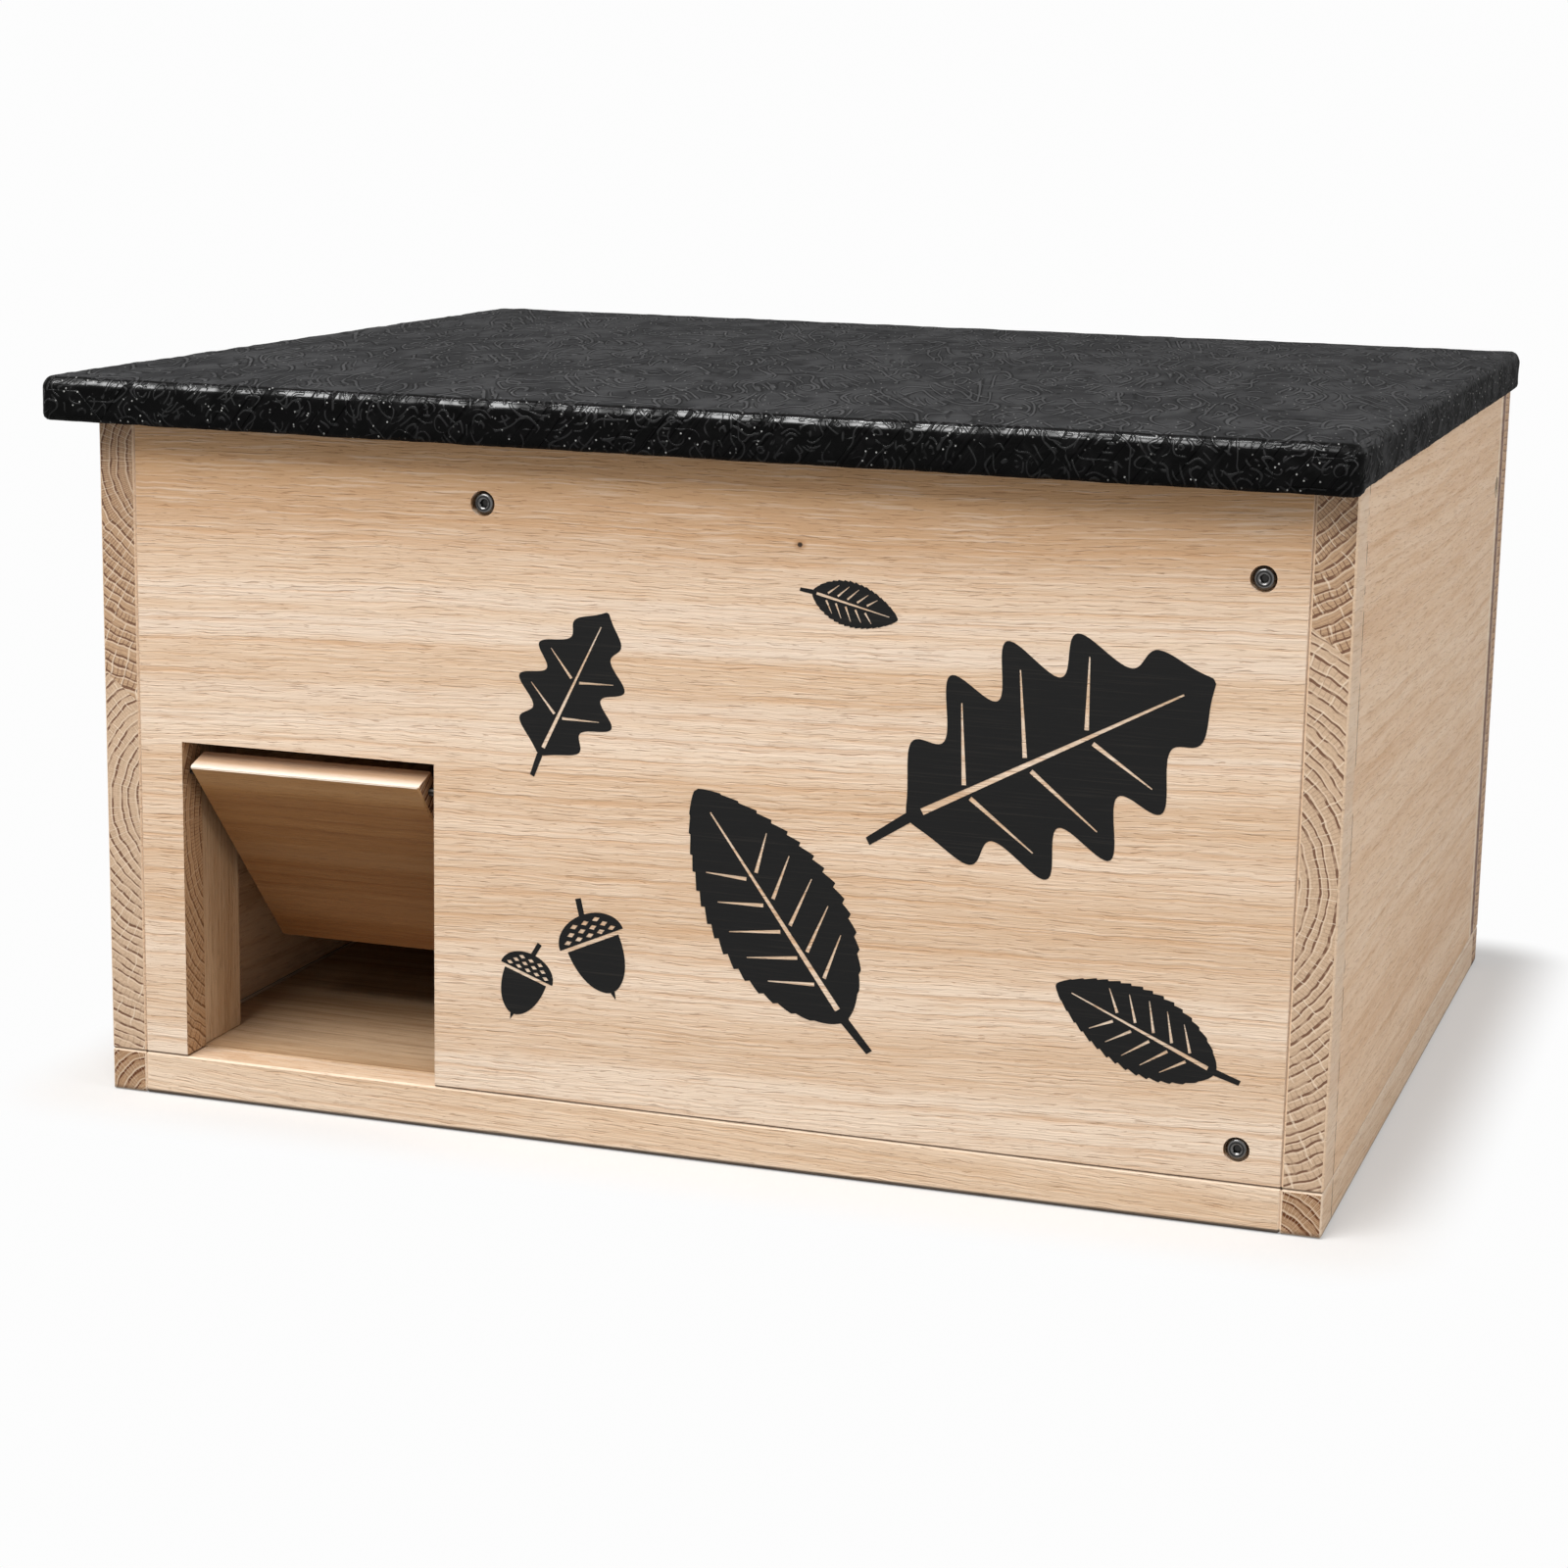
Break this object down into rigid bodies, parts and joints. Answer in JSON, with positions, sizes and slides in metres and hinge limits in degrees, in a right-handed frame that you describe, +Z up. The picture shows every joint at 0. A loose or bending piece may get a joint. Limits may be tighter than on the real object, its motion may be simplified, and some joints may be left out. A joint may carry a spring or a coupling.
{
  "type": "hedgehog house",
  "caption": "Low timber shelter box on a base frame, with an inward and outward swinging entrance flap, an inner partition to a nest chamber and a flat felt-covered lift-off roof.",
  "frame": {"origin": "on the ground, under the middle of the box's footprint, at the middle floor bearer's underside", "axes": "+X along the width, to the right as seen from the entrance front; +Y from the front to the back; +Z up"},
  "size_m": [0.606, 0.53, 0.341],
  "materials": {
    "pale_wood": "bare planed softwood, pale beige with fine straight grain",
    "side_wood": "bare planed softwood, end grain on the front edges",
    "base_wood": "bare planed softwood rail",
    "inner_wood": "bare softwood",
    "flap_wood": "bare planed softwood, a little browner",
    "felt": "embossed black bitumen felt, semi-matt",
    "screw_steel": "dark plated pan-head screws",
    "rod_steel": "drawn steel rod"
  },
  "bodies": {
    "house": {"base_front_rail": "base_wood", "base_rear_rail": "base_wood", "base_left_rail": "base_wood", "base_right_rail": "base_wood", "floor_panel": "inner_wood", "floor_bearer_left": "inner_wood", "floor_bearer_middle": "inner_wood", "floor_bearer_right": "inner_wood", "front_panel": "pale_wood", "rear_panel": "pale_wood", "left_panel": "side_wood", "right_panel": "side_wood", "front_left_post": "inner_wood", "front_right_post": "inner_wood", "rear_left_post": "inner_wood", "rear_right_post": "inner_wood", "partition": "inner_wood", "flap_rod": "rod_steel", "front_screws": "screw_steel", "rear_screws": "screw_steel", "side_screws": "screw_steel", "base_screws": "screw_steel"},
    "entrance_flap": {"flap": "flap_wood"},
    "roof": {"roof_deck": "inner_wood", "roof_felt": "felt", "roof_batten_left": "inner_wood", "roof_batten_right": "inner_wood", "batten_screws": "screw_steel"}
  },
  "joints": [
    {"name": "flap_swing", "type": "hinge", "parent": "house", "child": "entrance_flap", "pos_m": [-0.186, -0.241, 0.157], "axis": [1, 0, 0], "range_deg": [-162, 78]},
    {"name": "roof_lift", "type": "slide", "parent": "house", "child": "roof", "axis": [0, 0, 1], "range_m": [0, 0.25]}
  ]
}
